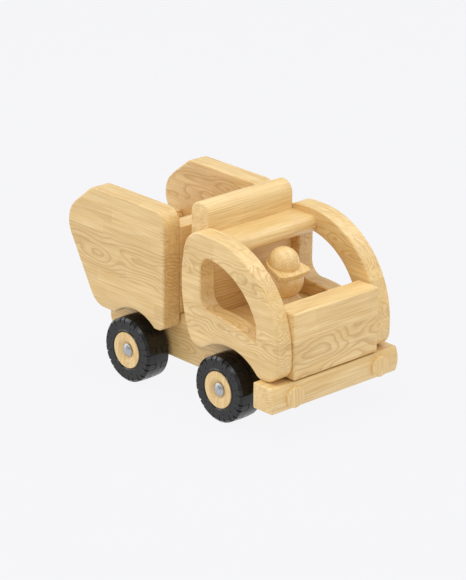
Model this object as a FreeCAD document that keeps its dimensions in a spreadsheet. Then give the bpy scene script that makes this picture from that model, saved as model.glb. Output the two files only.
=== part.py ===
import FreeCAD, Part
import cmath
import math
import os
import types

import Sketcher
from FreeCAD import Placement, Rotation, Vector

# A wooden toy dump truck. Lengths are in millimetres and angles in degrees.
# +X points forward, +Y to the truck's left and +Z up. The origin is on the ground,
# midway along the truck and midway between its wheels.

DRIVING_SIZES = {
    # wheels and axles
    "front_axle_x": 65.4,
    "rear_axle_x": -50.5,
    "wheel_radius": 29.0,
    "tyre_width": 26.0,
    "tyre_outer_y": 73.2,
    "tyre_bore_radius": 16.15,
    "tyre_crown_half_width": 3.0,
    "lug_groove_width": 0.5,
    "lug_groove_depth": 0.7,
    "lug_groove_end_y": 3.4,
    "shoulder_notch_width": 1.3,
    "shoulder_notch_inset": 1.2,
    "long_groove_radius": 22.4,
    "short_groove_radius": 24.2,
    "slot_width": 0.8,
    "slot_length": 6.5,
    "tyre_lip_radius": 17.8,
    "tyre_lip_width": 0.5,
    "tyre_lip_height": 0.6,
    "tyre_shoulder_radius": 26.6,
    "tyre_shoulder_width": 1.9,
    "tyre_tread_edge_radius": 28.6,
    "pip_ring_radius": 21.3,
    "pip_radius": 0.7,
    "hub_radius": 16.1,
    "hub_outer_y": 72.9,
    "hub_rim": 0.8,
    "hub_boss_radius": 8.0,
    "hub_dish_radius": 10.0,
    "hub_dish_floor_radius": 6.4,
    "hub_dish_depth": 2.4,
    "axle_radius": 3.0,
    "running_gap": 0.05,
    "clear_gap": 0.3,
    "glue_gap": 0.03,
    "cap_radius": 5.8,
    "cap_height": 3.2,
    "cap_skirt": 0.9,
    "cap_bore_depth": 2.2,
    "cap_outer_y": 74.0,
    # chassis
    "rail_outer_y": 45.0,
    "rail_thickness": 16.0,
    "chassis_bottom": 24.2,
    "chassis_top": 66.9,
    "rail_front_x": 107.0,
    "rail_rear_x": -104.4,
    "rail_toe_radius": 16.0,
    "front_block_rear_x": 50.0,
    "front_block_front_x": 84.0,
    "front_block_bottom": 44.0,
    "rear_block_rear_x": -80.0,
    "rear_block_front_x": -62.0,
    "edge_round": 1.8,
    # bumper
    "bumper_front_x": 129.4,
    "bumper_bulge": 2.8,
    "bumper_half_width": 72.0,
    "bumper_round": 1.2,
    "bumper_bottom": 26.4,
    "bumper_top": 49.1,
    "headlight_y": 49.0,
    "headlight_radius": 9.3,
    "headlight_front_x": 135.3,
    "headlight_seat_x": 130.0,
    "headlight_round": 1.8,
    "headlight_stem_radius": 5.0,
    "headlight_stem_length": 12.0,
    # cab
    "cab_inner_y": 48.3,
    "cab_side_thickness": 17.05,
    "cab_arc_x": 45.0,
    "cab_arc_z": 73.0,
    "cab_arc_radius": 83.6,
    "cab_front_toe_z": 49.3,
    "cab_rear_toe_z": 55.6,
    "cab_back_radius": 125.0,
    "cab_back_x": 11.2,
    "cab_back_z": 111.0,
    "front_arch_x": 68.5,
    "front_arch_z": 17.0,
    "front_arch_radius": 49.0,
    "cab_top_corner": 21.0,
    "cab_front_toe_corner": 15.0,
    "cab_rear_toe_corner": 12.0,
    "arch_corner": 9.0,
    "window_rear_x": 34.8,
    "window_front_x": 102.0,
    "window_arc_x": 40.0,
    "window_arc_z": 70.0,
    "window_arc_radius": 66.5,
    "window_sill_z": 89.9,
    "window_sill_x": 50.0,
    "window_sill_radius": 122.0,
    "window_top_corner": 11.0,
    "window_rear_corner": 13.0,
    "window_front_corner": 3.0,
    "cab_floor_top": 76.9,
    "back_wall_rear_x": 4.5,
    "back_wall_front_x": 26.7,
    "back_wall_top": 174.6,
    "roof_front_x": 55.5,
    "roof_bottom": 135.3,
    "roof_top": 150.1,
    "front_panel_front_x": 130.5,
    "front_panel_bottom": 50.2,
    "front_panel_top": 108.3,
    # tipper
    "tipper_inner_y": 46.1,
    "tipper_side_thickness": 19.3,
    "tipper_front_x": -10.7,
    "tipper_top": 161.7,
    "tipper_toe_z": 54.9,
    "tipper_tail_x": -142.3,
    "tipper_tail_z": 130.1,
    "tipper_shoulder_x": -103.5,
    "tipper_heel_x": -99.9,
    "rear_arch_x": -48.9,
    "rear_arch_z": 25.9,
    "rear_arch_radius": 38.7,
    "tipper_top_corner": 13.0,
    "tipper_front_toe_corner": 8.0,
    "tipper_tail_corner": 24.5,
    "tipper_heel_corner": 20.0,
    "tipper_shoulder_corner": 15.0,
    "tipper_arch_toe_corner": 3.0,
    "tipper_floor_bottom": 67.2,
    "tipper_floor_top": 79.2,
    "front_wall_front_x": -11.0,
    "front_wall_thickness": 18.0,
    "front_wall_top": 145.6,
    "tail_board_inset": 5.0,
    "tail_board_thickness": 12.0,
    "tail_board_height": 34.2,
    # tipper hinge
    "pivot_x": -94.5,
    "pivot_z": 57.0,
    "hinge_radius": 9.9,
    "hinge_block_half_width": 28.6,
    "hinge_pin_half_length": 44.0,
    "tipping_angle": 50.0,
    # driver
    "driver_x": 66.2,
    "driver_radius": 17.5,
    "driver_peg_radius": 8.0,
    "shoulder_z": 89.2,
    "neck_radius": 8.6,
    "neck_z": 100.2,
    "driver_pin_bottom": 84.0,
    "driver_pin_top": 131.0,
    "head_radius": 17.2,
    "head_z": 109.4,
    "hat_radius": 13.3,
    "hat_z": 124.1,
    "visor_top": 122.4,
    "visor_tilt": 14.0,
    "visor_thickness": 4.2,
    "visor_reach": 18.3,
    "visor_front_radius": 80.0,
    "visor_corner_x": 16.3,
    "visor_corner_y": 17.9,
    "visor_corner_round": 5.0,
    "visor_rear_radius": 15.0,
    "visor_round": 0.8,
    # dowels
    "dowel_radius": 3.0,
    "dowel_reach": 12.0,
    "short_dowel_reach": 7.0,
    "block_dowel_reach": 6.0,
    "hinge_dowel_y": 18.0,
}


class Size:
    """A length with the spreadsheet formula that drives it."""

    def __init__(self, value, formula):
        self.value = value
        self.formula = formula

    def __add__(self, other):
        other = as_size(other)
        return Size(self.value + other.value, f"({self.formula} + {other.formula})")

    def __sub__(self, other):
        other = as_size(other)
        return Size(self.value - other.value, f"({self.formula} - {other.formula})")

    def __mul__(self, factor):
        return Size(self.value * factor, f"({self.formula} * {factor})")

    def __neg__(self):
        return Size(-self.value, f"(0 - {self.formula})")


def as_size(length):
    """Gives a plain number the form of a Size."""
    if isinstance(length, Size):
        return length
    return Size(float(length), str(float(length)))


def fill_sheet(document):
    """Writes the driving sizes to a spreadsheet and returns them by name."""
    sheet = document.addObject("Spreadsheet::Sheet", "sizes")
    named = types.SimpleNamespace()
    for row, (alias, value) in enumerate(DRIVING_SIZES.items(), start=1):
        sheet.set(f"A{row}", alias)
        sheet.set(f"B{row}", str(value))
        sheet.setAlias(f"B{row}", alias)
        setattr(named, alias, Size(value, f"sizes.{alias}"))
    document.recompute()
    return named


doc = FreeCAD.newDocument("toy_dump_truck")
s = fill_sheet(doc)
nodes = []
homes = {}


# ---------------------------------------------------------------- building helpers

def bind(thing, path, length):
    """Ties one property to its spreadsheet formula."""
    thing.setExpression(path, as_size(length).formula)


def place(thing, x=0, y=0, z=0):
    """Binds where a sub-part or a primitive stands."""
    bind(thing, "Placement.Base.x", x)
    bind(thing, "Placement.Base.y", y)
    bind(thing, "Placement.Base.z", z)
    homes[thing.Name] = (as_size(x), as_size(y), as_size(z))


def new_body(label):
    """Starts a sub-part as a PartDesign body and lists it for export."""
    body = doc.addObject("PartDesign::Body", label)
    body.Label = label
    nodes.append(body)
    return body


def origin_feature(body, role):
    """The body's own origin plane or axis with that role."""
    return next(f for f in body.Origin.OriginFeatures if f.Role == role)


def new_sketch(body, role, name, turn=0.0):
    """A sketch on one of the body's origin planes, turned about Y if asked."""
    sketch = body.newObject("Sketcher::SketchObject", f"{body.Name}_{name}")
    sketch.AttachmentSupport = [(origin_feature(body, role), "")]
    sketch.MapMode = "FlatFace"
    if turn:
        sketch.AttachmentOffset = Placement(Vector(0, 0, 0), Rotation(Vector(0, 1, 0), turn))
    return sketch


def fix_point(sketch, geometry, end, x, y):
    """Binds a sketch point's two coordinates."""
    for kind, length, value in (("DistanceX", x, x.value), ("DistanceY", y, y.value)):
        index = sketch.addConstraint(
            Sketcher.Constraint(kind, -1, 1, geometry, end, value)
        )
        bind(sketch, f"Constraints[{index}]", length)


def draw_loop(sketch, points, arcs=None):
    """Draws a closed outline through bound points.

    arcs makes the side that starts at a point with that number an arc: (centre x, centre y, radius).
    """
    arcs = arcs or {}
    corners = [(as_size(x), as_size(y)) for x, y in points]
    first = sketch.GeometryCount
    count = len(corners)
    for i, (x, y) in enumerate(corners):
        next_x, next_y = corners[(i + 1) % count]
        start = Vector(x.value, y.value, 0)
        end = Vector(next_x.value, next_y.value, 0)
        if i in arcs:
            centre_x, centre_y, _ = arcs[i]
            centre = Vector(as_size(centre_x).value, as_size(centre_y).value, 0)
            sketch.addGeometry(arc_between(start, end, centre), False)
        else:
            sketch.addGeometry(Part.LineSegment(start, end), False)
    for i, (x, y) in enumerate(corners):
        side = first + i
        before = first + (i - 1) % count
        near = nearer_end(sketch, side, x, y)
        fix_point(sketch, side, near, x, y)
        other = nearer_end(sketch, before, x, y)
        sketch.addConstraint(Sketcher.Constraint("Coincident", side, near, before, other))
    for i, (_, _, radius) in arcs.items():
        radius = as_size(radius)
        index = sketch.addConstraint(Sketcher.Constraint("Radius", first + i, radius.value))
        bind(sketch, f"Constraints[{index}]", radius)


def arc_between(start, end, centre):
    """The shorter arc from start to end about a centre near the right place."""
    middle = (start + end) * 0.5
    radius = (start - centre).Length
    outward = middle - centre
    top = centre + outward * (radius / outward.Length)
    return Part.Arc(start, top, end)


def nearer_end(sketch, geometry, x, y):
    """1 if that point is the geometry's start, 2 if it is its end."""
    start = sketch.getPoint(geometry, 1)
    gap = math.hypot(start.x - x.value, start.y - y.value)
    end = sketch.getPoint(geometry, 2)
    other_gap = math.hypot(end.x - x.value, end.y - y.value)
    return 1 if gap < other_gap else 2


def pad(body, sketch, length, reversed_way=False, midplane=False):
    """Extrudes a sketch by a bound length."""
    feature = body.newObject("PartDesign::Pad", f"{sketch.Name}_pad")
    feature.Profile = sketch
    bind(feature, "Length", length)
    feature.Reversed = reversed_way
    feature.Midplane = midplane
    doc.recompute()
    return feature


def pocket(body, sketch, length, reversed_way=False, midplane=False):
    """Cuts a sketch into a body by a bound length, and makes sure that it cut something."""
    before = body.Shape.Volume
    feature = body.newObject("PartDesign::Pocket", f"{sketch.Name}_pocket")
    feature.Profile = sketch
    bind(feature, "Length", length)
    feature.Reversed = reversed_way
    feature.Midplane = midplane
    doc.recompute()
    if body.Shape.Volume > before - 0.01:
        raise ValueError(f"{feature.Name} cuts nothing")
    return feature


def revolve(body, sketch, axis="V_Axis"):
    """Turns a sketch a whole turn about one of its axes."""
    feature = body.newObject("PartDesign::Revolution", f"{sketch.Name}_turned")
    feature.Profile = sketch
    feature.ReferenceAxis = (sketch, [axis])
    feature.Angle = 360
    doc.recompute()
    return feature


def ring_pattern(body, feature, count):
    """Repeats a feature evenly about the body's Y axis."""
    pattern = body.newObject("PartDesign::PolarPattern", f"{feature.Name}_ring")
    pattern.Originals = [feature]
    pattern.Axis = (origin_feature(body, "Y_Axis"), [""])
    pattern.Angle = 360
    pattern.Occurrences = count
    body.Tip = pattern
    doc.recompute()
    return pattern


def round_edges(body, radius, wanted):
    """Fillets the edges of the body's last feature that the wanted function picks."""
    base = body.Tip
    names = [f"Edge{i}" for i, edge in enumerate(base.Shape.Edges, start=1) if wanted(edge)]
    if not names:
        raise ValueError(f"{body.Label} has no such edge")
    fillet = body.newObject("PartDesign::Fillet", f"{body.Name}_round")
    fillet.Base = (base, names)
    bind(fillet, "Radius", radius)
    doc.recompute()
    return fillet


def every_edge(edge):
    return True


def corner_at(x, z):
    """Picks the edge that runs along Y through that corner of an outline."""
    x = as_size(x).value
    z = as_size(z).value

    def wanted(edge):
        box = edge.BoundBox
        if box.YLength < 1.0 or box.XLength > 0.01 or box.ZLength > 0.01:
            return False
        return math.hypot(box.XMin - x, box.ZMin - z) < 0.6

    return wanted


def outline_edge(edge):
    """Picks the edges that run round a board's two broad faces, which face along Y."""
    return edge.BoundBox.YLength < 0.001


def board(label, x, y, z):
    """A rectangular board between two limits along each axis, with rounded edges."""
    x0, x1 = as_size(x[0]), as_size(x[1])
    y0, y1 = as_size(y[0]), as_size(y[1])
    z0, z1 = as_size(z[0]), as_size(z[1])
    body = new_body(label)
    sketch = new_sketch(body, "XY_Plane", "outline")
    zero = as_size(0)
    length = x1 - x0
    width = y1 - y0
    draw_loop(sketch, [(zero, zero), (length, zero), (length, width), (zero, width)])
    pad(body, sketch, z1 - z0)
    round_edges(body, s.edge_round, every_edge)
    place(body, x0, y0, z0)
    return body


ALONG = {
    "X": Rotation(Vector(0, 1, 0), 90),
    "Y": Rotation(Vector(1, 0, 0), -90),
    "Z": Rotation(),
}


def bore(body, axis, start, radius, length):
    """Cuts a round hole that starts at a point of the truck's frame and runs along +axis."""
    before = body.Shape.Volume
    hole = body.newObject("PartDesign::SubtractiveCylinder", f"{body.Name}_bore")
    hole.Placement = Placement(Vector(0, 0, 0), ALONG[axis])
    home = homes[body.Name]
    place(hole, *[as_size(at) - base for at, base in zip(start, home)])
    bind(hole, "Radius", radius)
    bind(hole, "Height", length)
    doc.recompute()
    if body.Shape.Volume > before - 0.01:
        raise ValueError(f"{hole.Name} cuts nothing")


def rod(label, axis, centre, radius, half_length):
    """A round rod centred on a point."""
    start = list(centre)
    index = "XYZ".index(axis)
    start[index] = as_size(start[index]) - half_length
    cylinder = doc.addObject("Part::Cylinder", label)
    cylinder.Label = label
    cylinder.Placement = Placement(Vector(0, 0, 0), ALONG[axis])
    place(cylinder, *start)
    bind(cylinder, "Radius", radius)
    bind(cylinder, "Height", as_size(half_length) * 2)
    return cylinder


def dowel_group(label, axis, half_length, joints):
    """Round wooden dowels that share a node, each glued into holes in two bodies.

    joints lists (centre of the dowel, the bodies that it joins).
    """
    half_length = as_size(half_length)
    pegs = []
    index = "XYZ".index(axis)
    for number, (centre, bodies) in enumerate(joints, start=1):
        pegs.append(rod(f"{label}_{number}", axis, centre, s.dowel_radius, half_length))
        start = list(centre)
        start[index] = as_size(start[index]) - half_length - s.glue_gap
        for body in bodies:
            bore(body, axis, start, s.dowel_radius + s.glue_gap, (half_length + s.glue_gap) * 2)
    group = doc.addObject("Part::Compound", label)
    group.Label = label
    group.Links = pegs
    nodes.append(group)


def outline_board(label, points, arcs, y_high, thickness):
    """A board whose outline is drawn in side view and whose broad faces face along Y."""
    body = new_body(label)
    sketch = new_sketch(body, "XZ_Plane", "outline")
    draw_loop(sketch, points, arcs)
    pad(body, sketch, thickness)
    place(body, y=y_high)
    return body


def turned_body(label, profile, arcs=None, axis="V_Axis", plane="XY_Plane"):
    """A piece turned on a lathe from half of its outline."""
    body = new_body(label)
    sketch = new_sketch(body, plane, "profile")
    draw_loop(sketch, profile, arcs)
    revolve(body, sketch, axis)
    return body


SIDES = (("left", 1), ("right", -1))


def y_span(side, inner, thickness):
    """The lower and upper Y of a board that lies outside +-inner on one side of the truck."""
    return (inner, inner + thickness) if side > 0 else (-(inner + thickness), -inner)


# ---------------------------------------------------------------- chassis

def chassis_rail(name, side):
    """A long rail. Its rear end is rounded about the tipper's pivot and bevelled as a stop."""
    tilt = math.radians(DRIVING_SIZES["tipping_angle"])
    bevel_top_x = s.pivot_x - s.hinge_radius * math.sin(tilt)
    bevel_top_z = s.pivot_z + s.hinge_radius * math.cos(tilt)
    bevel_bottom_z = bevel_top_z - (bevel_top_x - s.rail_rear_x) * math.tan(tilt)
    points = [
        (s.rail_rear_x, s.chassis_bottom),
        (s.rail_front_x, s.chassis_bottom),
        (s.rail_front_x, s.chassis_top),
        (s.pivot_x, s.chassis_top),
        (bevel_top_x, bevel_top_z),
        (s.rail_rear_x, bevel_bottom_z),
    ]
    arcs = {3: (s.pivot_x, s.pivot_z, s.hinge_radius)}
    y_low, y_high = y_span(side, s.rail_outer_y - s.rail_thickness, s.rail_thickness)
    rail = outline_board(f"chassis_rail_{name}", points, arcs, y_high, s.rail_thickness)
    round_edges(rail, s.rail_toe_radius, corner_at(s.rail_rear_x, s.chassis_bottom))
    round_edges(rail, s.edge_round, outline_edge)
    reach = s.rail_thickness + s.running_gap * 4
    start_y = y_low - s.running_gap * 2
    for axle_x in (s.front_axle_x, s.rear_axle_x):
        bore(rail, "Y", (axle_x, start_y, s.wheel_radius), s.axle_radius + s.glue_gap, reach)
    bore(rail, "Y", (s.pivot_x, start_y, s.pivot_z), s.axle_radius + s.glue_gap, reach)
    return rail


rails = [chassis_rail(name, side) for name, side in SIDES]
rail_inner_y = s.rail_outer_y - s.rail_thickness
front_cross_block = board(
    "chassis_front_cross_block",
    (s.front_block_rear_x, s.front_block_front_x),
    (-rail_inner_y, rail_inner_y),
    (s.front_block_bottom, s.chassis_top),
)
rear_cross_block = board(
    "chassis_rear_cross_block",
    (s.rear_block_rear_x, s.rear_block_front_x),
    (-rail_inner_y, rail_inner_y),
    (s.chassis_bottom, s.chassis_top),
)


# ---------------------------------------------------------------- bumper and headlights

def bumper_bar():
    """The bumper: a bar with a gently bulging front face."""
    middle_z = (s.bumper_bottom + s.bumper_top) * 0.5
    half_height = (DRIVING_SIZES["bumper_top"] - DRIVING_SIZES["bumper_bottom"]) / 2
    bulge = DRIVING_SIZES["bumper_bulge"]
    bulge_radius = (half_height ** 2 + bulge ** 2) / (2 * bulge)
    nose_x = s.bumper_front_x + s.bumper_bulge
    points = [
        (s.rail_front_x, s.bumper_bottom),
        (s.bumper_front_x, s.bumper_bottom),
        (nose_x, middle_z),
        (s.bumper_front_x, s.bumper_top),
        (s.rail_front_x, s.bumper_top),
    ]
    arc = (nose_x - bulge_radius, middle_z, bulge_radius)
    bar = outline_board(
        "bumper", points, {1: arc, 2: arc}, s.bumper_half_width, s.bumper_half_width * 2
    )
    round_edges(bar, s.bumper_round, sharp_bumper_edge)
    return bar


def sharp_bumper_edge(edge):
    """Every bumper edge but the seam along the middle of its bulge."""
    box = edge.BoundBox
    seam_x = DRIVING_SIZES["bumper_front_x"] + DRIVING_SIZES["bumper_bulge"]
    return box.YLength < 0.01 or box.XMin < seam_x - 0.1


def headlight(name, side):
    """A round wooden button whose stem is glued into the bumper."""
    stem = s.headlight_stem_length
    head = s.headlight_front_x - s.headlight_seat_x
    profile = [
        (-stem, 0),
        (head, 0),
        (head, s.headlight_radius),
        (0, s.headlight_radius),
        (0, s.headlight_stem_radius),
        (-stem, s.headlight_stem_radius),
    ]
    button = turned_body(f"headlight_{name}", profile, axis="H_Axis")
    front = DRIVING_SIZES["headlight_front_x"] - DRIVING_SIZES["headlight_seat_x"]
    round_edges(button, s.headlight_round, lambda edge: abs(edge.BoundBox.XMin - front) < 0.01)
    centre_z = (s.bumper_bottom + s.bumper_top) * 0.5
    place(button, s.headlight_seat_x, s.headlight_y * side, centre_z)
    seat = (s.headlight_seat_x, s.headlight_y * side, centre_z)
    bore(bumper, "X", seat, s.headlight_radius + s.glue_gap, s.headlight_radius)
    hole_start = (s.headlight_seat_x - stem - s.glue_gap, s.headlight_y * side, centre_z)
    bore(bumper, "X", hole_start, s.headlight_stem_radius + s.glue_gap, stem + s.headlight_radius)


bumper = bumper_bar()
for name, side in SIDES:
    headlight(name, side)


# ---------------------------------------------------------------- cab

def cab_side(name, side):
    """A cab side: a quarter-round front and roof line, a wheel arch and a large window."""
    top_z = s.cab_arc_z + s.cab_arc_radius
    front_x = s.cab_arc_x + s.cab_arc_radius
    back_centre_x = s.cab_back_x + s.cab_back_radius
    back = (back_centre_x, s.cab_back_z, s.cab_back_radius)
    arch = (s.front_arch_x, s.front_arch_z, s.front_arch_radius)
    top_rear_x = back_centre_x - chord(s.cab_back_radius, top_z - s.cab_back_z)
    toe_rear_x = back_centre_x - chord(s.cab_back_radius, s.cab_back_z - s.cab_rear_toe_z)
    arch_front_x = s.front_arch_x + chord(s.front_arch_radius, s.cab_front_toe_z - s.front_arch_z)
    arch_rear_x = s.front_arch_x - chord(s.front_arch_radius, s.cab_rear_toe_z - s.front_arch_z)
    points = [
        (s.cab_arc_x, top_z),
        (front_x, s.cab_arc_z),
        (front_x, s.cab_front_toe_z),
        (arch_front_x, s.cab_front_toe_z),
        (arch_rear_x, s.cab_rear_toe_z),
        (toe_rear_x, s.cab_rear_toe_z),
        (top_rear_x, top_z),
    ]
    arcs = {0: (s.cab_arc_x, s.cab_arc_z, s.cab_arc_radius), 3: arch, 5: back}
    y_low, y_high = y_span(side, s.cab_inner_y, s.cab_side_thickness)
    panel = outline_board(f"cab_side_{name}", points, arcs, y_high, s.cab_side_thickness)
    round_edges(panel, s.cab_front_toe_corner, corner_at(front_x, s.cab_front_toe_z))
    round_edges(panel, s.arch_corner, corner_at(arch_front_x, s.cab_front_toe_z))
    round_edges(panel, s.arch_corner, corner_at(arch_rear_x, s.cab_rear_toe_z))
    round_edges(panel, s.cab_rear_toe_corner, corner_at(toe_rear_x, s.cab_rear_toe_z))
    round_edges(panel, s.cab_top_corner, corner_at(top_rear_x, top_z))
    cut_window(panel)
    round_edges(panel, s.edge_round, outline_edge)
    return panel


def chord(radius, offset):
    """Half of a circle's chord at an offset from its centre."""
    half = math.sqrt(radius.value ** 2 - offset.value ** 2)
    return Size(half, f"sqrt({radius.formula} ^ 2 - {offset.formula} ^ 2)")


def cut_window(panel):
    """The window: upright behind, arched in front and above, over a sill that curves down."""
    sill_centre_z = s.window_sill_z - s.window_sill_radius
    arc_top_z = s.window_arc_z + chord(s.window_arc_radius, s.window_arc_x - s.window_rear_x)
    sill_front_z = sill_centre_z + chord(s.window_sill_radius, s.window_front_x - s.window_sill_x)
    arc_front_z = s.window_arc_z + chord(s.window_arc_radius, s.window_front_x - s.window_arc_x)
    points = [
        (s.window_rear_x, s.window_sill_z),
        (s.window_sill_x, s.window_sill_z),
        (s.window_front_x, sill_front_z),
        (s.window_front_x, arc_front_z),
        (s.window_rear_x, arc_top_z),
    ]
    arcs = {
        1: (s.window_sill_x, sill_centre_z, s.window_sill_radius),
        3: (s.window_arc_x, s.window_arc_z, s.window_arc_radius),
    }
    sketch = new_sketch(panel, "XZ_Plane", "window")
    draw_loop(sketch, points, arcs)
    pocket(panel, sketch, s.cab_side_thickness + 2, reversed_way=True)
    round_edges(panel, s.window_top_corner, corner_at(s.window_rear_x, arc_top_z))
    round_edges(panel, s.window_rear_corner, corner_at(s.window_rear_x, s.window_sill_z))
    round_edges(panel, s.window_front_corner, corner_at(s.window_front_x, sill_front_z))
    round_edges(panel, s.window_front_corner, corner_at(s.window_front_x, arc_front_z))


def cab_back_wall():
    """The wall behind the cab. It stands above the roof and its top is fully rounded."""
    middle_x = (s.back_wall_rear_x + s.back_wall_front_x) * 0.5
    radius = (s.back_wall_front_x - s.back_wall_rear_x) * 0.5
    spring_z = s.back_wall_top - radius
    points = [
        (s.back_wall_rear_x, s.chassis_top),
        (s.back_wall_front_x, s.chassis_top),
        (s.back_wall_front_x, spring_z),
        (middle_x, s.back_wall_top),
        (s.back_wall_rear_x, spring_z),
    ]
    arc = (middle_x, spring_z, radius)
    wall = outline_board(
        "cab_back_wall", points, {2: arc, 3: arc}, s.cab_inner_y, s.cab_inner_y * 2
    )
    round_edges(wall, s.edge_round, outline_edge)
    return wall


def cab_roof():
    """The roof board, with a half-round front edge."""
    radius = (s.roof_top - s.roof_bottom) * 0.5
    middle_z = (s.roof_top + s.roof_bottom) * 0.5
    nose_x = s.roof_front_x - radius
    points = [
        (s.back_wall_front_x, s.roof_bottom),
        (nose_x, s.roof_bottom),
        (s.roof_front_x, middle_z),
        (nose_x, s.roof_top),
        (s.back_wall_front_x, s.roof_top),
    ]
    arc = (nose_x, middle_z, radius)
    return outline_board("cab_roof", points, {1: arc, 2: arc}, s.cab_inner_y, s.cab_inner_y * 2)


cab_sides = [cab_side(name, side) for name, side in SIDES]
back_wall = cab_back_wall()
roof = cab_roof()
front_panel = board(
    "cab_front_panel",
    (s.rail_front_x, s.front_panel_front_x),
    (-s.cab_inner_y, s.cab_inner_y),
    (s.front_panel_bottom, s.front_panel_top),
)
cab_floor = board(
    "cab_floor",
    (s.back_wall_front_x, s.rail_front_x),
    (-s.cab_inner_y, s.cab_inner_y),
    (s.chassis_top, s.cab_floor_top),
)
bore(
    cab_floor,
    "Z",
    (s.driver_x, 0, s.chassis_top - 1),
    s.driver_peg_radius + s.running_gap,
    s.cab_floor_top - s.chassis_top + 2,
)


# ---------------------------------------------------------------- tipper

slant_x = DRIVING_SIZES["tipper_tail_x"] - DRIVING_SIZES["tipper_heel_x"]
slant_z = DRIVING_SIZES["tipper_tail_z"] - DRIVING_SIZES["tipper_toe_z"]
slant_length = math.hypot(slant_x, slant_z)
slant_x /= slant_length
slant_z /= slant_length


def slant_line_x(inset, z):
    """X at a height on a line that runs inside the tipper's slanted rear edge."""
    inset = as_size(inset)
    start_x = s.tipper_heel_x + inset * slant_z
    start_z = s.tipper_toe_z - inset * slant_x
    return start_x + (z - start_z) * (slant_x / slant_z)


def tipper_side(name, side):
    """A tipper side: a big shield-shaped board with an arch over the rear wheel."""
    reach = chord(s.rear_arch_radius, s.tipper_toe_z - s.rear_arch_z)
    arch_rear_x = s.rear_arch_x - reach
    arch_front_x = s.rear_arch_x + reach
    points = [
        (s.tipper_front_x, s.tipper_toe_z),
        (s.tipper_front_x, s.tipper_top),
        (s.tipper_shoulder_x, s.tipper_top),
        (s.tipper_tail_x, s.tipper_tail_z),
        (s.tipper_heel_x, s.tipper_toe_z),
        (arch_rear_x, s.tipper_toe_z),
        (arch_front_x, s.tipper_toe_z),
    ]
    arcs = {5: (s.rear_arch_x, s.rear_arch_z, s.rear_arch_radius)}
    y_low, y_high = y_span(side, s.tipper_inner_y, s.tipper_side_thickness)
    panel = outline_board(f"tipper_side_{name}", points, arcs, y_high, s.tipper_side_thickness)
    round_edges(panel, s.tipper_front_toe_corner, corner_at(s.tipper_front_x, s.tipper_toe_z))
    round_edges(panel, s.tipper_top_corner, corner_at(s.tipper_front_x, s.tipper_top))
    round_edges(panel, s.tipper_shoulder_corner, corner_at(s.tipper_shoulder_x, s.tipper_top))
    round_edges(panel, s.tipper_tail_corner, corner_at(s.tipper_tail_x, s.tipper_tail_z))
    round_edges(panel, s.tipper_heel_corner, corner_at(s.tipper_heel_x, s.tipper_toe_z))
    round_edges(panel, s.arch_corner, corner_at(arch_rear_x, s.tipper_toe_z))
    round_edges(panel, s.tipper_arch_toe_corner, corner_at(arch_front_x, s.tipper_toe_z))
    round_edges(panel, s.edge_round, outline_edge)
    return panel


def tipper_floor_board():
    """The load floor. Its rear end is cut to the slant of the tail board."""
    front_x = s.front_wall_front_x - s.front_wall_thickness
    inset = s.tail_board_inset
    points = [
        (slant_line_x(inset, s.tipper_floor_bottom), s.tipper_floor_bottom),
        (front_x, s.tipper_floor_bottom),
        (front_x, s.tipper_floor_top),
        (slant_line_x(inset, s.tipper_floor_top), s.tipper_floor_top),
    ]
    return outline_board("tipper_floor", points, {}, s.tipper_inner_y, s.tipper_inner_y * 2)


def tipper_tail_board():
    """The slanted board that closes the tipper's rear up to about a third of its height."""
    inner = s.tail_board_inset + s.tail_board_thickness
    top_z = s.tipper_floor_top + s.tail_board_height
    points = [
        (slant_line_x(s.tail_board_inset, s.tipper_floor_top), s.tipper_floor_top),
        (slant_line_x(inner, s.tipper_floor_top), s.tipper_floor_top),
        (slant_line_x(inner, top_z), top_z),
        (
            slant_line_x(inner, top_z) - s.tail_board_thickness * slant_z,
            top_z + s.tail_board_thickness * slant_x,
        ),
    ]
    tail = outline_board("tipper_tail_board", points, {}, s.tipper_inner_y, s.tipper_inner_y * 2)
    round_edges(tail, s.edge_round, every_edge)
    return tail


def tipper_hinge_block():
    """The block under the load floor that turns on the hinge pin between the rails."""
    radius = s.hinge_radius - s.clear_gap
    points = [
        (s.pivot_x - radius, s.tipper_floor_bottom),
        (s.pivot_x - radius, s.pivot_z),
        (s.pivot_x, s.pivot_z - radius),
        (s.pivot_x + radius, s.pivot_z),
        (s.pivot_x + radius, s.tipper_floor_bottom),
    ]
    arc = (s.pivot_x, s.pivot_z, radius)
    half = s.hinge_block_half_width
    block = outline_board("tipper_hinge_block", points, {1: arc, 2: arc}, half, half * 2)
    bore(
        block,
        "Y",
        (s.pivot_x, -half - 1, s.pivot_z),
        s.axle_radius + s.running_gap,
        half * 2 + 2,
    )
    return block


tipper_sides = [tipper_side(name, side) for name, side in SIDES]
tipper_floor = tipper_floor_board()
tail_board = tipper_tail_board()
front_wall = board(
    "tipper_front_wall",
    (s.front_wall_front_x - s.front_wall_thickness, s.front_wall_front_x),
    (-s.tipper_inner_y, s.tipper_inner_y),
    (s.tipper_floor_bottom, s.front_wall_top),
)
hinge_block = tipper_hinge_block()
hinge_pin = rod(
    "tipper_hinge_pin",
    "Y",
    (s.pivot_x, 0, s.pivot_z),
    s.axle_radius,
    s.hinge_pin_half_length,
)
nodes.append(hinge_pin)


# ---------------------------------------------------------------- wheels

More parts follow.
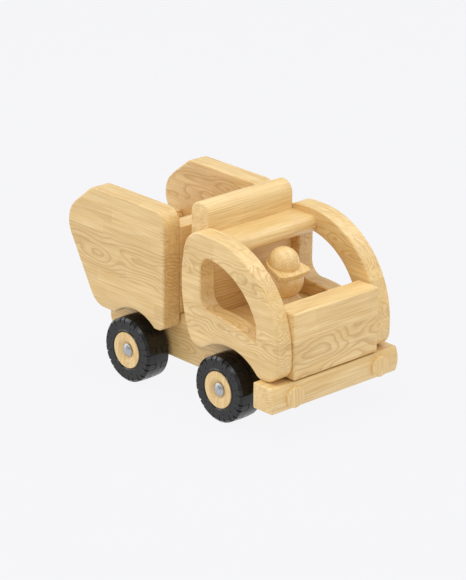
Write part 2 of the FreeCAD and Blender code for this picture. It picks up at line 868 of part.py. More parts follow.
def wheel_hub(label, axle_x, side):
    """A turned wooden hub, dished round the axle cap, with an inner boss towards the rail."""
    middle_y = s.tyre_outer_y - s.tyre_width * 0.5
    face = s.hub_outer_y - middle_y
    inner_face = -(s.tyre_width * 0.5)
    boss_end = s.rail_outer_y + s.clear_gap - middle_y
    bore_radius = s.axle_radius + s.running_gap
    rim = s.hub_rim
    dish_floor = face - s.hub_dish_depth
    profile = [
        (bore_radius, boss_end),
        (s.hub_boss_radius, boss_end),
        (s.hub_boss_radius, inner_face),
        (s.hub_radius, inner_face),
        (s.hub_radius, face - rim),
        (s.hub_radius - rim, face),
        (s.hub_dish_radius, face),
        (s.hub_dish_floor_radius, dish_floor),
        (bore_radius, dish_floor),
    ]
    hub = turned_body(label, profile, {4: (s.hub_radius - rim, face - rim, rim)})
    if side < 0:
        hub.Placement = Placement(Vector(0, 0, 0), Rotation(Vector(0, 0, 1), 180))
    place(hub, axle_x, middle_y * side, s.wheel_radius)


def tyre_profile():
    """Half of a tyre's section: radius across, width up."""
    half = s.tyre_width * 0.5
    wall = half - s.tyre_lip_height
    half_section = [
        (s.tyre_bore_radius, wall - s.tyre_lip_height),
        (s.tyre_lip_radius - s.tyre_lip_width, half),
        (s.tyre_lip_radius, half),
        (s.tyre_lip_radius + s.tyre_lip_height, wall),
        (s.tyre_shoulder_radius, wall),
        (s.tyre_tread_edge_radius, wall - s.tyre_shoulder_width),
        (s.wheel_radius, s.tyre_crown_half_width),
    ]
    return half_section + [(r, -y) for r, y in reversed(half_section)]


def groove_loop(reach_radius, side):
    """The section of a lug groove: down the tyre's wall, over the shoulder, along the tread."""
    half = s.tyre_width * 0.5
    depth = s.lug_groove_depth
    wall = half - s.tyre_lip_height
    outside = s.wheel_radius + 2
    loop = [
        (reach_radius, wall - depth),
        (s.tyre_shoulder_radius - depth * 0.5, wall - depth),
        (s.tyre_tread_edge_radius - depth, wall - s.tyre_shoulder_width),
        (s.wheel_radius - depth, s.lug_groove_end_y),
        (outside, s.lug_groove_end_y),
        (outside, half + 2),
        (reach_radius, half + 2),
    ]
    return [(r, y * side) for r, y in loop]


def notch_loop(side):
    """The section of the notch that each groove makes in the tyre's shoulder."""
    half = s.tyre_width * 0.5
    inset = s.shoulder_notch_inset
    wall = half - s.tyre_lip_height
    outside = s.wheel_radius + 2
    end_y = wall - s.tyre_shoulder_width - inset
    loop = [
        (s.tyre_shoulder_radius - inset, wall),
        (s.tyre_tread_edge_radius, end_y),
        (outside, end_y),
        (outside, half + 2),
        (s.tyre_shoulder_radius - inset, half + 2),
    ]
    return [(r, y * side) for r, y in loop]


def slot_loop(side):
    """The section of the slot that joins the inner ends of a pair of lug grooves."""
    floor = s.wheel_radius - s.lug_groove_depth
    outside = s.wheel_radius + 2
    end_y = s.lug_groove_end_y
    start_y = end_y - s.slot_width
    loop = [(floor, start_y), (outside, start_y), (outside, end_y), (floor, end_y)]
    return [(r, y * side) for r, y in loop]


def cut_ring(tyre, name, angle, loops, width):
    """Cuts closed sections to a width in a ring, the first at that angle above the front."""
    sketch = new_sketch(tyre, "XY_Plane", name, -angle)
    for loop in loops:
        draw_loop(sketch, loop)
    cut = pocket(tyre, sketch, width, midplane=True)
    ring_pattern(tyre, cut, LUG_PAIRS)


def wheel_tyre(label, axle_x, side):
    """A rubber tyre: pairs of grooves over each shoulder, joined by a slot, and wall pips."""
    tyre = turned_body(label, tyre_profile())
    sides = (1, -1)
    for name, reach_radius, angle in (
        ("long_groove", s.long_groove_radius, LONG_GROOVE_ANGLE),
        ("short_groove", s.short_groove_radius, SHORT_GROOVE_ANGLE),
    ):
        loops = [groove_loop(reach_radius, side_sign) for side_sign in sides]
        cut_ring(tyre, name, angle, loops, s.lug_groove_width)
        notches = [notch_loop(side_sign) for side_sign in sides]
        cut_ring(tyre, f"{name}_notch", angle, notches, s.shoulder_notch_width)
    slots = [slot_loop(side_sign) for side_sign in sides]
    cut_ring(tyre, "slot", SLOT_ANGLE, slots, s.slot_length)
    for name, direction in (("outer", 1), ("inner", -1)):
        pip = tyre.newObject("PartDesign::AdditiveSphere", f"{tyre.Name}_pip_{name}")
        bind(pip, "Radius", s.pip_radius)
        turn = math.radians(PIP_ANGLE)
        wall = (s.tyre_width * 0.5 - s.tyre_lip_height) * direction
        place(pip, s.pip_ring_radius * math.cos(turn), wall, s.pip_ring_radius * math.sin(turn))
        doc.recompute()
        ring_pattern(tyre, pip, LUG_PAIRS)
    middle_y = s.tyre_outer_y - s.tyre_width * 0.5
    place(tyre, axle_x, middle_y * side, s.wheel_radius)


def axle_cap(label, axle_x, side):
    """A domed steel cap pushed onto the end of an axle."""
    bore_radius = s.axle_radius + s.glue_gap
    skirt = DRIVING_SIZES["cap_skirt"]
    rise = DRIVING_SIZES["cap_height"] - skirt
    dome_radius = (DRIVING_SIZES["cap_radius"] ** 2 + rise ** 2) / (2 * rise)
    profile = [
        (bore_radius, 0),
        (s.cap_radius, 0),
        (s.cap_radius, s.cap_skirt),
        (0, s.cap_height),
        (0, s.cap_bore_depth),
        (bore_radius, s.cap_bore_depth),
    ]
    cap = turned_body(label, profile, {2: (0, s.cap_height - dome_radius, dome_radius)})
    if side < 0:
        cap.Placement = Placement(Vector(0, 0, 0), Rotation(Vector(0, 0, 1), 180))
    place(cap, axle_x, (s.cap_outer_y - s.cap_height) * side, s.wheel_radius)


LUG_PAIRS = 12
LONG_GROOVE_ANGLE = 5.5
SHORT_GROOVE_ANGLE = 17.7
SLOT_ANGLE = 11.6
PIP_ANGLE = 16.0

for end, axle_x in (("front", s.front_axle_x), ("rear", s.rear_axle_x)):
    axle_end = s.cap_outer_y - s.cap_height + s.cap_bore_depth - s.glue_gap
    axle = rod(f"{end}_axle", "Y", (axle_x, 0, s.wheel_radius), s.axle_radius, axle_end)
    nodes.append(axle)
    for name, side in SIDES:
        wheel_hub(f"hub_{end}_{name}", axle_x, side)
        wheel_tyre(f"tyre_{end}_{name}", axle_x, side)
        axle_cap(f"axle_cap_{end}_{name}", axle_x, side)


# ---------------------------------------------------------------- driver

def driver_bore(body, length):
    """The hole for the pin that holds the driver's four pieces together."""
    hole = body.newObject("PartDesign::SubtractiveCylinder", f"{body.Name}_bore")
    place(hole, z=s.driver_pin_bottom - s.glue_gap)
    bind(hole, "Radius", s.axle_radius + s.glue_gap)
    bind(hole, "Height", length + s.glue_gap * 2)
    doc.recompute()


def driver_body():
    """A turned peg with sloping shoulders and a cup for the head."""
    seat_z = s.cab_floor_top + s.clear_gap
    profile = [
        (0, s.chassis_top + s.clear_gap),
        (s.driver_peg_radius, s.chassis_top + s.clear_gap),
        (s.driver_peg_radius, seat_z),
        (s.driver_radius, seat_z),
        (s.driver_radius, s.shoulder_z),
        (s.neck_radius, s.neck_z),
        (0, s.neck_z),
    ]
    body = turned_body("driver_body", profile, plane="XZ_Plane")
    cup = body.newObject("PartDesign::SubtractiveSphere", "driver_body_cup")
    bind(cup, "Radius", s.head_radius + s.glue_gap)
    place(cup, z=s.head_z)
    doc.recompute()
    return body


def tilt_visor():
    """The tilt of the visor, which points a little downwards."""
    return Rotation(Vector(0, 1, 0), s.visor_tilt.value)


def cut_ball(label, radius, centre_z, cut_z, keep_below):
    """A ball with a flat, tilted like the visor, that crosses the driver's axis at a height."""
    body = new_body(label)
    ball = body.newObject("PartDesign::AdditiveSphere", f"{label}_ball")
    bind(ball, "Radius", radius)
    place(ball, z=centre_z)
    doc.recompute()
    flat = body.newObject("PartDesign::SubtractiveBox", f"{label}_flat")
    for side in ("Length", "Width", "Height"):
        bind(flat, side, radius * 4)
    flat.Placement = Placement(Vector(0, 0, 0), tilt_visor())
    corner = tilt_visor().multVec(Vector(-2, -2, 0 if keep_below else -4))
    place(flat, radius * corner.x, radius * corner.y, cut_z + radius * corner.z)
    doc.recompute()
    return body


def driver_visor():
    """The cap's flat visor: round behind, flared, and gently arched in front."""
    body = new_body("driver_visor")
    sketch = new_sketch(body, "XY_Plane", "outline")
    rear_radius = s.visor_rear_radius
    corner = complex(s.visor_corner_x.value, s.visor_corner_y.value)
    touch = cmath.phase(corner) + math.acos(rear_radius.value / abs(corner))
    touch_x = rear_radius * math.cos(touch)
    touch_y = rear_radius * math.sin(touch)
    points = [
        (s.visor_corner_x, -s.visor_corner_y),
        (s.visor_reach, 0),
        (s.visor_corner_x, s.visor_corner_y),
        (touch_x, touch_y),
        (-rear_radius, 0),
        (touch_x, -touch_y),
    ]
    front = (s.visor_reach - s.visor_front_radius, 0, s.visor_front_radius)
    back = (0, 0, rear_radius)
    draw_loop(sketch, points, {0: front, 1: front, 3: back, 4: back})
    sketch.AttachmentOffset = Placement(Vector(0, 0, s.visor_top.value), tilt_visor())
    pad(body, sketch, s.visor_thickness, reversed_way=True)
    round_edges(body, s.visor_corner_round, front_visor_corner)
    round_edges(body, s.visor_round, lambda edge: not upright_visor_edge(edge))
    return body


def upright_visor_edge(edge):
    """Picks the edges that run through the visor's thickness."""
    return abs(edge.Length - s.visor_thickness.value) < 0.001


def front_visor_corner(edge):
    """Picks the two corners between the visor's front and its sides."""
    across = abs(edge.CenterOfMass.y)
    return upright_visor_edge(edge) and abs(across - s.visor_corner_y.value) < 0.01


visor_drop = s.visor_thickness * (1 / math.cos(math.radians(s.visor_tilt.value)))
driver_pieces = [
    driver_body(),
    cut_ball("driver_head", s.head_radius, s.head_z, s.visor_top - visor_drop, True),
    driver_visor(),
    cut_ball("driver_hat", s.hat_radius, s.hat_z, s.visor_top, False),
]
driver_pin = rod(
    "driver_pin",
    "Z",
    (0, 0, (s.driver_pin_bottom + s.driver_pin_top) * 0.5),
    s.axle_radius,
    (s.driver_pin_top - s.driver_pin_bottom) * 0.5,
)
nodes.append(driver_pin)
for piece in driver_pieces:
    driver_bore(piece, s.driver_pin_top - s.driver_pin_bottom)
    place(piece, s.driver_x)
place(driver_pin, s.driver_x, 0, s.driver_pin_bottom)


# ---------------------------------------------------------------- dowels

def both_sides(left_and_right, half_width, spots):
    """Pairs of dowel joints along Y at the two ends of a cross piece."""
    joints = []
    for (_, side), outer in zip(SIDES, left_and_right):
        for x, z, cross_piece in spots:
            joints.append(((x, half_width * side, z), (outer, cross_piece)))
    return joints


cab_spots = [
    (21, 95, back_wall),
    (21, 130, back_wall),
    (41, (s.roof_bottom + s.roof_top) * 0.5, roof),
    (38, (s.chassis_top + s.cab_floor_top) * 0.5, cab_floor),
    (95, (s.chassis_top + s.cab_floor_top) * 0.5, cab_floor),
    (118, 64, front_panel),
    (118, 96, front_panel),
]
dowel_group("cab_dowels", "Y", s.dowel_reach, both_sides(cab_sides, s.cab_inner_y, cab_spots))

tipper_floor_middle = (s.tipper_floor_bottom + s.tipper_floor_top) * 0.5
tail_middle_z = s.tipper_floor_top + s.tail_board_height * 0.45
tail_middle_x = slant_line_x(s.tail_board_inset + s.tail_board_thickness * 0.5, tail_middle_z)
front_wall_middle_x = s.front_wall_front_x - s.front_wall_thickness * 0.5
tipper_spots = [
    (front_wall_middle_x, 90, front_wall),
    (front_wall_middle_x, 128, front_wall),
    (-45, tipper_floor_middle, tipper_floor),
    (-82, tipper_floor_middle, tipper_floor),
    (tail_middle_x, tail_middle_z, tail_board),
]
dowel_group(
    "tipper_dowels", "Y", s.dowel_reach, both_sides(tipper_sides, s.tipper_inner_y, tipper_spots)
)

chassis_spots = [
    (58, 55, front_cross_block),
    (77, 55, front_cross_block),
    (-71, 36, rear_cross_block),
    (-71, 55, rear_cross_block),
]
dowel_group("chassis_dowels", "Y", s.dowel_reach, both_sides(rails, rail_inner_y, chassis_spots))

rail_middle_y = s.rail_outer_y - s.rail_thickness * 0.5
bumper_middle_z = (s.bumper_bottom + s.bumper_top) * 0.5
bumper_joints = []
floor_joints = []
block_joints = []
for (_, side), rail in zip(SIDES, rails):
    spot = (s.rail_front_x, rail_middle_y * side, bumper_middle_z)
    bumper_joints.append((spot, (bumper, rail)))
    for x in (50, 84):
        spot = (x, rail_middle_y * side, s.chassis_top)
        floor_joints.append((spot, (cab_floor, rail)))
    spot = (s.pivot_x, s.hinge_dowel_y * side, s.tipper_floor_bottom)
    block_joints.append((spot, (tipper_floor, hinge_block)))
dowel_group("bumper_dowels", "X", s.dowel_reach, bumper_joints)
dowel_group("cab_floor_dowels", "Z", s.short_dowel_reach, floor_joints)
dowel_group("hinge_block_dowels", "Z", s.block_dowel_reach, block_joints)


# ---------------------------------------------------------------- checks and export

doc.recompute()
for item in doc.Objects:
    if "Invalid" in item.State or "Error" in item.State:
        raise ValueError(f"{item.Label} failed: {item.State}")
for node in nodes:
    if node.Shape.isNull() or not node.Shape.isValid():
        raise ValueError(f"{node.Label} has no valid shape")

os.makedirs("parts", exist_ok=True)
for node in nodes:
    node.Shape.exportStep(os.path.join("parts", f"{node.Label}.step"))
    print(f"{node.Label}: {node.Shape.Volume / 1000:.1f} cubic centimetres")
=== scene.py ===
import math
import random

import bpy
from mathutils import Euler, Matrix, Vector


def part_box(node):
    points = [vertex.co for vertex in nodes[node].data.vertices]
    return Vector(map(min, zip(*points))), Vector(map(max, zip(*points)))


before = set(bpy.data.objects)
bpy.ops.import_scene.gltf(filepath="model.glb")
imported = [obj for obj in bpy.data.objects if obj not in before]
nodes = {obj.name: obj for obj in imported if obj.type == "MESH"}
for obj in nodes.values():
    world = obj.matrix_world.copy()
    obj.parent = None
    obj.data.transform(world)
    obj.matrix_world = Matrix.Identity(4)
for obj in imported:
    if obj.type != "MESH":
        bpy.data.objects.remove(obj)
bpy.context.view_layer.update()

# A wooden toy dump truck on a pale floor. Metres; +X is forward, +Y the truck's left, +Z up.

scene = bpy.context.scene
dice = random.Random(11)


def linear(red, green, blue):
    """A colour given as 0 to 255, in the values that shaders use."""
    def one(value):
        value /= 255
        return value / 12.92 if value <= 0.04045 else ((value + 0.055) / 1.055) ** 2.4
    return (one(red), one(green), one(blue), 1.0)


# ---------------------------------------------------------------- node building

class Shader:
    """A material being built from nodes."""

    def __init__(self, name):
        self.material = bpy.data.materials.new(name)
        self.material.use_nodes = True
        self.tree = self.material.node_tree
        self.tree.nodes.clear()
        self.principled = self.tree.nodes.new("ShaderNodeBsdfPrincipled")
        output = self.tree.nodes.new("ShaderNodeOutputMaterial")
        self.link(self.principled.outputs["BSDF"], output.inputs["Surface"])

    def link(self, source, target):
        self.tree.links.new(source, target)

    def feed(self, socket, value):
        """Links an output to an input, or sets it to a constant."""
        if isinstance(value, bpy.types.NodeSocket):
            self.link(value, socket)
        else:
            socket.default_value = value

    def coordinates(self):
        return self.tree.nodes.new("ShaderNodeTexCoord").outputs["Object"]

    def math(self, operation, *values):
        node = self.tree.nodes.new("ShaderNodeMath")
        node.operation = operation
        for socket, value in zip(node.inputs, values):
            self.feed(socket, value)
        return node.outputs["Value"]

    def vector_math(self, operation, *values):
        node = self.tree.nodes.new("ShaderNodeVectorMath")
        node.operation = operation
        for socket, value in zip(node.inputs, values):
            self.feed(socket, value)
        return node.outputs["Vector"]

    def rotate(self, vector, turn):
        node = self.tree.nodes.new("ShaderNodeMapping")
        node.vector_type = "POINT"
        self.feed(node.inputs["Vector"], vector)
        node.inputs["Rotation"].default_value = turn
        return node.outputs["Vector"]

    def split(self, vector):
        node = self.tree.nodes.new("ShaderNodeSeparateXYZ")
        self.feed(node.inputs[0], vector)
        return node.outputs

    def join(self, x, y, z):
        node = self.tree.nodes.new("ShaderNodeCombineXYZ")
        for socket, value in zip(node.inputs, (x, y, z)):
            self.feed(socket, value)
        return node.outputs[0]

    def noise(self, vector, detail=2.0, roughness=0.5, colour=False):
        node = self.tree.nodes.new("ShaderNodeTexNoise")
        self.feed(node.inputs["Vector"], vector)
        node.inputs["Scale"].default_value = 1.0
        node.inputs["Detail"].default_value = detail
        node.inputs["Roughness"].default_value = roughness
        return node.outputs["Color" if colour else "Fac"]

    def white_noise(self, value):
        node = self.tree.nodes.new("ShaderNodeTexWhiteNoise")
        node.noise_dimensions = "1D"
        self.feed(node.inputs["W"], value)
        return node.outputs["Color"]

    def spread(self, value, low, high, to_low=0.0, to_high=1.0):
        """Maps a range onto another, smoothly and within limits."""
        node = self.tree.nodes.new("ShaderNodeMapRange")
        node.interpolation_type = "SMOOTHSTEP"
        for name, setting in zip(
            ("Value", "From Min", "From Max", "To Min", "To Max"),
            (value, low, high, to_low, to_high),
        ):
            self.feed(node.inputs[name], setting)
        return node.outputs["Result"]

    def mix(self, factor, first, second, mode="MIX"):
        node = self.tree.nodes.new("ShaderNodeMix")
        node.data_type = "RGBA"
        node.blend_type = mode
        sockets = {socket.identifier: socket for socket in node.inputs}
        self.feed(sockets["Factor_Float"], factor)
        self.feed(sockets["A_Color"], first)
        self.feed(sockets["B_Color"], second)
        return next(o for o in node.outputs if o.identifier == "Result_Color")

    def bump(self, height, distance, strength=1.0):
        node = self.tree.nodes.new("ShaderNodeBump")
        node.inputs["Strength"].default_value = strength
        node.inputs["Distance"].default_value = distance
        self.feed(node.inputs["Height"], height)
        self.link(node.outputs["Normal"], self.principled.inputs["Normal"])


# ---------------------------------------------------------------- wood

PALE_WOOD = linear(246, 216, 156)
DEEP_WOOD = linear(232, 194, 124)
RING_WOOD = linear(200, 150, 80)
DARK_FLECK = linear(176, 128, 72)
# Sizes in millimetres.
FIBRE_LENGTH = 34
FIBRE_WIDTH = 0.9
PORE_LENGTH = 4
PORE_WIDTH = 0.4
STRIP_WIDTH = 35.0
LATH_WIDTH = STRIP_WIDTH / 3
BLOCK_LENGTH = 62.0
FIGURED_RING = 2.8
PLAIN_RING = 2.3
HEART_DEPTH = 22.0
# How far a board's rings rise for each millimetre through it.
RING_SLANT = 0.45
TURNS = {
    "X": Euler((0, 0, 0)),
    "Y": Euler((0, 0, math.radians(-90))),
    "Z": Euler((0, math.radians(90), 0)),
}


def grain_space(shader, turn, middle, scale=1.0):
    """Millimetres from a middle point, over a scale, with the grain turned onto X."""
    factor = 1000 / scale
    point = shader.vector_math("MULTIPLY", shader.coordinates(), (factor, factor, factor))
    point = shader.vector_math("SUBTRACT", point, [factor * at for at in middle])
    return shader.rotate(point, turn)


def stretched(shader, vector, *lengths):
    """A vector over a length for each axis, for noise whose spots have those lengths."""
    return shader.vector_math("MULTIPLY", vector, [1 / length for length in lengths])


def centred_noise(shader, vector, lengths, size):
    """Coloured noise about zero, with spots of the given lengths, times a size for each part."""
    noise = shader.noise(stretched(shader, vector, *lengths), 1.0, colour=True)
    noise = shader.vector_math("SUBTRACT", noise, (0.5, 0.5, 0.5))
    return shader.split(shader.vector_math("MULTIPLY", noise, size))


def random_move():
    """A long move at random, so that no two pieces show the same stretch of noise."""
    return [dice.uniform(-400, 400) for _ in range(3)]


def ring_lines(shader, radius, ring, sharpness=1.5):
    """Growth rings: each darkens slowly outwards and ends at a fine line."""
    phase = shader.math("FRACT", shader.math("DIVIDE", radius, ring))
    rise = shader.spread(phase, 0.2, 0.88)
    fall = shader.spread(phase, 0.88, 1.0, 1.0, 0.0)
    return shader.math("POWER", shader.math("MULTIPLY", rise, fall), sharpness)


def finish_wood(shader, far, line, tone_and_painted_light, width=1.0):
    """Colours wood from its ring lines and a tone, which darkens some pieces with painted shade
    and lightens others with a painted highlight, and adds fibres, pores and lacquer.

    width says how many times wider the fibres and pores are along the texture's Z than Y.
    """
    fibre_space = stretched(shader, far, FIBRE_LENGTH, FIBRE_WIDTH, FIBRE_WIDTH * width)
    fibres = shader.noise(fibre_space, 3.0, 0.55)
    pores = shader.noise(stretched(shader, far, PORE_LENGTH, PORE_WIDTH, PORE_WIDTH * width), 1.0)
    pore = shader.spread(pores, 0.64, 0.8)
    cloud = shader.noise(stretched(shader, far, 60, 4, 4), 3.0)
    base = shader.mix(shader.spread(cloud, 0.3, 0.75, 0.0, 0.8), PALE_WOOD, DEEP_WOOD)
    base = shader.mix(shader.spread(fibres, 0.35, 0.75, 0.0, 0.42), base, RING_WOOD)
    colour = shader.mix(shader.math("MULTIPLY", line, 0.55), base, RING_WOOD)
    colour = shader.mix(shader.math("MULTIPLY", pore, 0.22), colour, DARK_FLECK)
    # The tone tints the wood, painted shade and painted highlight included, deepening its colour
    # where it darkens.
    tint_and_painted_light = shader.join(tone_and_painted_light, shader.math("POWER", tone_and_painted_light, 1.2), shader.math("POWER", tone_and_painted_light, 1.6))
    colour = shader.mix(1.0, colour, tint_and_painted_light, "MULTIPLY")
    body = shader.principled.inputs
    shader.link(colour, body["Base Color"])
    shader.feed(body["Roughness"], shader.spread(fibres, 0.2, 0.8, 0.36, 0.46))
    body["Coat Weight"].default_value = 0.4
    body["Coat Roughness"].default_value = 0.2
    height = shader.math("SUBTRACT", shader.math("MULTIPLY", fibres, 0.5), pore)
    height = shader.math("SUBTRACT", height, shader.math("MULTIPLY", line, 0.4))
    shader.bump(height, 0.00005, 0.5)


def board_wood(name, turn, layer, figure=0.0, scale=1.0, period=3, tone_and_painted_light=1.0):
    """Solid wood glued up from strips. Every so many strips, one shows a cathedral figure.

    turn brings the grain to the texture's X. layer says which texture axis, Y or Z, the
    strips are stacked along. figure is where on it, in millimetres, a figured strip's middle
    lies, scale makes the strips and rings finer, and period counts the strips from one
    figured strip to the next.
    """
    shader = Shader(name)
    grain = grain_space(shader, turn, (0, 0, 0), scale)
    along, across, through = shader.split(grain)
    if layer == "Z":
        across, through = through, across
    off = shader.math("SUBTRACT", across, figure / scale)
    slanted = shader.math("ADD", across, shader.math("MULTIPLY", through, RING_SLANT))
    move = random_move()
    far = shader.vector_math("ADD", shader.join(along, across, through), move)
    far_slanted = shader.vector_math("ADD", shader.join(along, slanted, through), move)

    number = shader.math("FLOOR", shader.math("ADD", shader.math("DIVIDE", off, STRIP_WIDTH), 0.5))
    figured = shader.math(
        "LESS_THAN", shader.math("FLOORED_MODULO", shader.math("ADD", number, 0.1), period), 0.5
    )
    lath_number = shader.math("DIVIDE", off, LATH_WIDTH)
    lath_number = shader.math("FLOOR", shader.math("ADD", lath_number, 0.5))
    row = shader.split(shader.white_noise(shader.math("ADD", lath_number, dice.uniform(0, 99))))
    step = shader.math("ADD", along, shader.math("MULTIPLY", row[0], 300.0))
    block = shader.math("FLOOR", shader.math("DIVIDE", step, BLOCK_LENGTH))
    key = shader.math("ADD", shader.math("MULTIPLY", block, 7.31), lath_number)
    chance = shader.split(shader.white_noise(key))
    block_tone = shader.spread(chance[0], 0, 1, 0.955, 1.035)
    strip_tone = shader.mix(figured, (1, 1, 1, 1), (0.985, 0.985, 0.985, 1))
    block_tone = shader.math("MULTIPLY", block_tone, shader.split(strip_tone)[0])

    broad = centred_noise(shader, far, (75, 32, 32), (0, 9, 36))
    small = centred_noise(shader, far, (17, 7, 7), (0, 1.6, 2.2))
    local = shader.math("SUBTRACT", off, shader.math("MULTIPLY", number, STRIP_WIDTH))
    flat = shader.math("ADD", local, shader.math("ADD", broad[1], small[1]))
    deep = shader.math("ADD", shader.math("MULTIPLY", through, 0.5), HEART_DEPTH)
    deep = shader.math("ADD", deep, shader.math("ADD", broad[2], small[2]))
    squares = shader.math(
        "ADD", shader.math("MULTIPLY", flat, flat), shader.math("MULTIPLY", deep, deep)
    )
    figured_line = ring_lines(shader, shader.math("SQRT", squares), FIGURED_RING, 2.0)

    sway = centred_noise(shader, far, (90, 18, 18), (0, 7, 7))
    shift = shader.math("MULTIPLY", chance[1], 9.0)
    level = shader.math("ADD", slanted, shader.math("ADD", sway[1], shift))
    strength = shader.spread(
        shader.noise(stretched(shader, far, 55, 5, 5), 1.0), 0.4, 0.75, 0.1, 0.95
    )
    plain_line = shader.math("MULTIPLY", ring_lines(shader, level, PLAIN_RING), strength)
    line = shader.mix(
        figured, shader.join(plain_line, 0, 0), shader.join(figured_line, 0, 0)
    )
    # A board's factor of painted shade (below 1) and painted highlight (above 1) scales the random
    # tone of its blocks.
    block_tone_and_painted_light = shader.math("MULTIPLY", block_tone, tone_and_painted_light)
    finish_wood(shader, far_slanted, shader.split(line)[0], block_tone_and_painted_light, width=6.0)
    return shader.material


def turned_wood(name, turn, middle, ring=2.6, warp=3.0, depth=0.0, tone_and_painted_light=1.0):
    """A turned piece cut from one block, with rings about a heart near its middle."""
    shader = Shader(name)
    grain = grain_space(shader, turn, middle)
    along, across, through = shader.split(grain)
    far = shader.vector_math("ADD", grain, random_move())
    bend = centred_noise(shader, far, (45, 16, 16), (0, warp * 2, warp * 2))
    flat = shader.math("ADD", across, bend[1])
    deep = shader.math("ADD", shader.math("ADD", through, depth), bend[2])
    squares = shader.math(
        "ADD", shader.math("MULTIPLY", flat, flat), shader.math("MULTIPLY", deep, deep)
    )
    radius = shader.math(
        "ADD", shader.math("SQRT", squares), shader.math("MULTIPLY", along, 0.05)
    )
    patch = shader.noise(stretched(shader, far, 30, 9, 9), 1.0)
    line = shader.math(
        "MULTIPLY", ring_lines(shader, radius, ring), shader.spread(patch, 0.3, 0.7, 0.15, 0.6)
    )
    finish_wood(shader, far, line, tone_and_painted_light)
    return shader.material


def dress(name, material):
    """Gives a CAD node its material."""
    mesh = nodes[name].data
    mesh.materials.clear()
    mesh.materials.append(material)


BOARDS = [
    # node, grain, strips stacked along, figured strip's middle, scale, period, tone with painted
    # shade and painted highlight in it
    # The rails are darkened with painted shade, as if shaded under the body.
    ("chassis_rail_left", "X", "Z", 38.0, 0.9, 3, 0.95),
    ("chassis_rail_right", "X", "Z", 38.0, 0.9, 3, 0.95),
    ("chassis_front_cross_block", "Y", "Z", 100.0, 1.0, 3, 1.0),
    ("chassis_rear_cross_block", "Y", "Z", 100.0, 1.0, 3, 1.0),
    ("bumper", "Y", "Z", 90.0, 1.0, 3, 1.0),
    ("cab_side_left", "X", "Z", 81.0, 0.7, 2, 1.0),
    ("cab_side_right", "X", "Z", 81.0, 0.7, 2, 1.0),
    # The back wall is lightened with a painted highlight, for the sheen on its round top.
    ("cab_back_wall", "Y", "Z", 90.0, 1.0, 4, 1.02),
    ("cab_roof", "Y", "Y", 0.0, 0.8, 3, 1.0),
    ("cab_front_panel", "Y", "Z", 66.0, 1.0, 3, 1.0),
    ("cab_floor", "X", "Y", 60.0, 0.8, 4, 1.0),
    ("tipper_side_left", "X", "Z", 139.0, 0.9, 3, 0.965),
    # The near tipper side is darkened with painted shade, against the light that falls on that
    # side.
    ("tipper_side_right", "X", "Z", 106.5, 1.0, 3, 0.95),
    ("tipper_floor", "X", "Y", 10.0, 1.0, 3, 1.0),
    ("tipper_tail_board", "Y", "Z", 100.0, 1.0, 3, 1.0),
    ("tipper_front_wall", "Y", "Z", 100.0, 1.0, 3, 1.0),
    ("tipper_hinge_block", "Y", "Z", 100.0, 1.0, 3, 1.0),
]
for name, grain, layer, figure, scale, period, tone_and_painted_light in BOARDS:
    dress(name, board_wood(f"wood_{name}", TURNS[grain], layer, figure, scale, period, tone_and_painted_light))


def middle_of(name):
    low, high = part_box(name)
    return (low + high) / 2


for name in (
    "headlight_left",
    "headlight_right",
    "hub_front_left",
    "hub_front_right",
    "hub_rear_left",
    "hub_rear_right",
    "driver_body",
):
    dress(name, turned_wood(f"wood_{name}", TURNS["Z"], middle_of(name), warp=5.0, depth=9.0))
facing = Euler((0, math.radians(-18), math.radians(24)))
hat_middle = middle_of("driver_hat")
for name in ("driver_hat", "driver_head", "driver_visor"):
    # The hat, head and visor are lightened with a painted highlight, for the sheen on their
    # rounded tops.
    dress(name, turned_wood(f"wood_{name}", facing, hat_middle, ring=2.3, warp=1.5, tone_and_painted_light=1.03))
dowel_wood = turned_wood("wood_dowels", TURNS["Y"], (0, 0, 0))
for name in ("cab", "tipper", "chassis", "bumper", "cab_floor", "hinge_block"):
    dress(f"{name}_dowels", dowel_wood)
dress("driver_pin", dowel_wood)


# ---------------------------------------------------------------- rubber and steel

def rubber():
    """Moulded black tyre rubber with a faint haze and fine pitting."""
    shader = Shader("tyre_rubber")
    point = shader.vector_math("MULTIPLY", shader.coordinates(), (1000, 1000, 1000))
    haze = shader.noise(shader.vector_math("MULTIPLY", point, (0.09, 0.09, 0.09)), 3.0)
    grit = shader.noise(shader.vector_math("MULTIPLY", point, (2.2, 2.2, 2.2)), 3.0, 0.6)
    body = shader.principled.inputs
    shade = shader.spread(haze, 0.3, 0.7)
    shader.link(shader.mix(shade, linear(12, 12, 13), linear(20, 20, 21)), body["Base Color"])
    shader.feed(body["Roughness"], shader.spread(haze, 0.3, 0.7, 0.15, 0.21))
    body["Specular IOR Level"].default_value = 0.45
    shader.bump(grit, 0.00003, 0.3)
    return shader.material


def steel(name, colour, roughness):
    """Bright metal with a faint haze."""
    shader = Shader(name)
    point = shader.vector_math("MULTIPLY", shader.coordinates(), (1000, 1000, 1000))
    haze = shader.noise(shader.vector_math("MULTIPLY", point, (0.25, 0.25, 0.25)), 2.0)
    body = shader.principled.inputs
    dull = [part * 0.92 for part in colour[:3]] + [1.0]
    shader.link(shader.mix(shader.spread(haze, 0.35, 0.75), colour, dull), body["Base Color"])
    body["Metallic"].default_value = 1.0
    shader.feed(body["Roughness"], shader.spread(haze, 0.3, 0.8, roughness, roughness + 0.04))
    return shader.material


tyre_material = rubber()
cap_material = steel("cap_steel", linear(185, 186, 189), 0.26)
axle_material = steel("axle_steel", linear(190, 190, 192), 0.3)
for end in ("front", "rear"):
    dress(f"{end}_axle", axle_material)
    for side in ("left", "right"):
        dress(f"tyre_{end}_{side}", tyre_material)
        dress(f"axle_cap_{end}_{side}", cap_material)
dress("tipper_hinge_pin", axle_material)


# ---------------------------------------------------------------- smooth shading

CREASE_ANGLE = math.radians(32)
for node in nodes.values():
    for face in node.data.polygons:
        face.use_smooth = True
    node.data.set_sharp_from_angle(angle=CREASE_ANGLE)


# ---------------------------------------------------------------- floor, light, camera

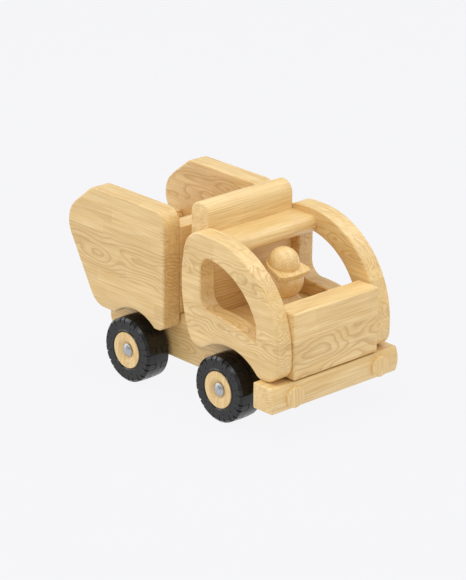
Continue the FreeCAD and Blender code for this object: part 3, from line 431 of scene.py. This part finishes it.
def floor():
    """A pale floor that hardly darkens under the truck."""
    reach = 9.0
    mesh = bpy.data.meshes.new("floor")
    corners = [(-reach, -reach, 0), (reach, -reach, 0), (reach, reach, 0), (-reach, reach, 0)]
    mesh.from_pydata([Vector(c) for c in corners], [], [(0, 1, 2, 3)])
    thing = bpy.data.objects.new("floor", mesh)
    scene.collection.objects.link(thing)
    shader = Shader("pale_floor")
    body = shader.principled.inputs
    cloud = shader.noise(shader.vector_math("MULTIPLY", shader.coordinates(), (14, 14, 14)), 2.0)
    grey = shader.mix(cloud, (0.02, 0.02, 0.02, 1), (0.024, 0.024, 0.024, 1))
    shader.link(grey, body["Base Color"])
    body["Roughness"].default_value = 1.0
    body["Specular IOR Level"].default_value = 0.0
    body["Emission Color"].default_value = linear(245, 245, 247)
    body["Emission Strength"].default_value = 0.98
    mesh.materials.append(shader.material)


def area_light(name, place, size, power, colour=(1, 1, 1)):
    """A soft rectangular light that faces the truck's middle."""
    light = bpy.data.lights.new(name, "AREA")
    light.shape = "RECTANGLE"
    light.size = size[0]
    light.size_y = size[1]
    light.energy = power
    light.color = colour
    thing = bpy.data.objects.new(name, light)
    scene.collection.objects.link(thing)
    thing.location = place
    aim = Vector((0, 0, 0.08)) - Vector(place)
    thing.rotation_euler = aim.to_track_quat("-Z", "Y").to_euler()


def sky(strength, glow_strength, glow_side):
    """A pale surround, brighter low down on one side."""
    world = bpy.data.worlds.new("surround")
    world.use_nodes = True
    tree = world.node_tree
    background = tree.nodes["Background"]
    background.inputs["Color"].default_value = (1, 1, 1, 1)
    direction = tree.nodes.new("ShaderNodeTexCoord").outputs["Generated"]
    dot = tree.nodes.new("ShaderNodeVectorMath")
    dot.operation = "DOT_PRODUCT"
    tree.links.new(direction, dot.inputs[0])
    dot.inputs[1].default_value = Vector(glow_side).normalized()
    glow = tree.nodes.new("ShaderNodeMapRange")
    glow.interpolation_type = "SMOOTHSTEP"
    tree.links.new(dot.outputs["Value"], glow.inputs["Value"])
    for name, value in (
        ("From Min", 0.72),
        ("From Max", 1.0),
        ("To Min", strength),
        ("To Max", glow_strength),
    ):
        glow.inputs[name].default_value = value
    tree.links.new(glow.outputs["Result"], background.inputs["Strength"])
    scene.world = world


def camera(place, yaw, pitch, roll, lens):
    """A camera at a place. Yaw, pitch and roll are in degrees; yaw 0 looks along +Y."""
    data = bpy.data.cameras.new("camera")
    data.lens = lens
    data.sensor_width = 36.0
    data.clip_end = 50.0
    thing = bpy.data.objects.new("camera", data)
    scene.collection.objects.link(thing)
    yaw = math.radians(yaw)
    pitch = math.radians(pitch)
    back = Vector(
        (math.sin(yaw) * math.cos(pitch), -math.cos(yaw) * math.cos(pitch), math.sin(pitch))
    )
    right = Vector((0, 0, 1)).cross(back).normalized()
    up = back.cross(right)
    matrix = Matrix((right, up, back)).transposed() @ Matrix.Rotation(math.radians(roll), 3, "Z")
    thing.matrix_world = Matrix.Translation(place) @ matrix.to_4x4()
    scene.camera = thing


floor()
sky(0.525, 1.5, (-0.9, -0.35, 0.12))
area_light("top_light", (0.1, -0.1, 1.7), (1.4, 1.4), 13.5, (0.97, 0.99, 1.0))
area_light("front_light", (1.6, 0.2, 0.8), (0.9, 0.9), 3.0)
area_light("near_light", (0.85, -1.25, 0.55), (0.5, 0.5), 0.3)
area_light("rear_light", (-1.2, -0.65, 1.1), (0.7, 0.7), 3)
area_light("far_light", (0.3, 1.2, 1.35), (1.3, 0.7), 4)
area_light("strip_light", (0.05, -1.15, 1.0), (1.3, 0.1), 2.0)
camera(place=(1.59095, -1.47376, 0.91065), yaw=47.105, pitch=20.952, roll=0.48, lens=169.05)
scene.view_settings.view_transform = "Standard"
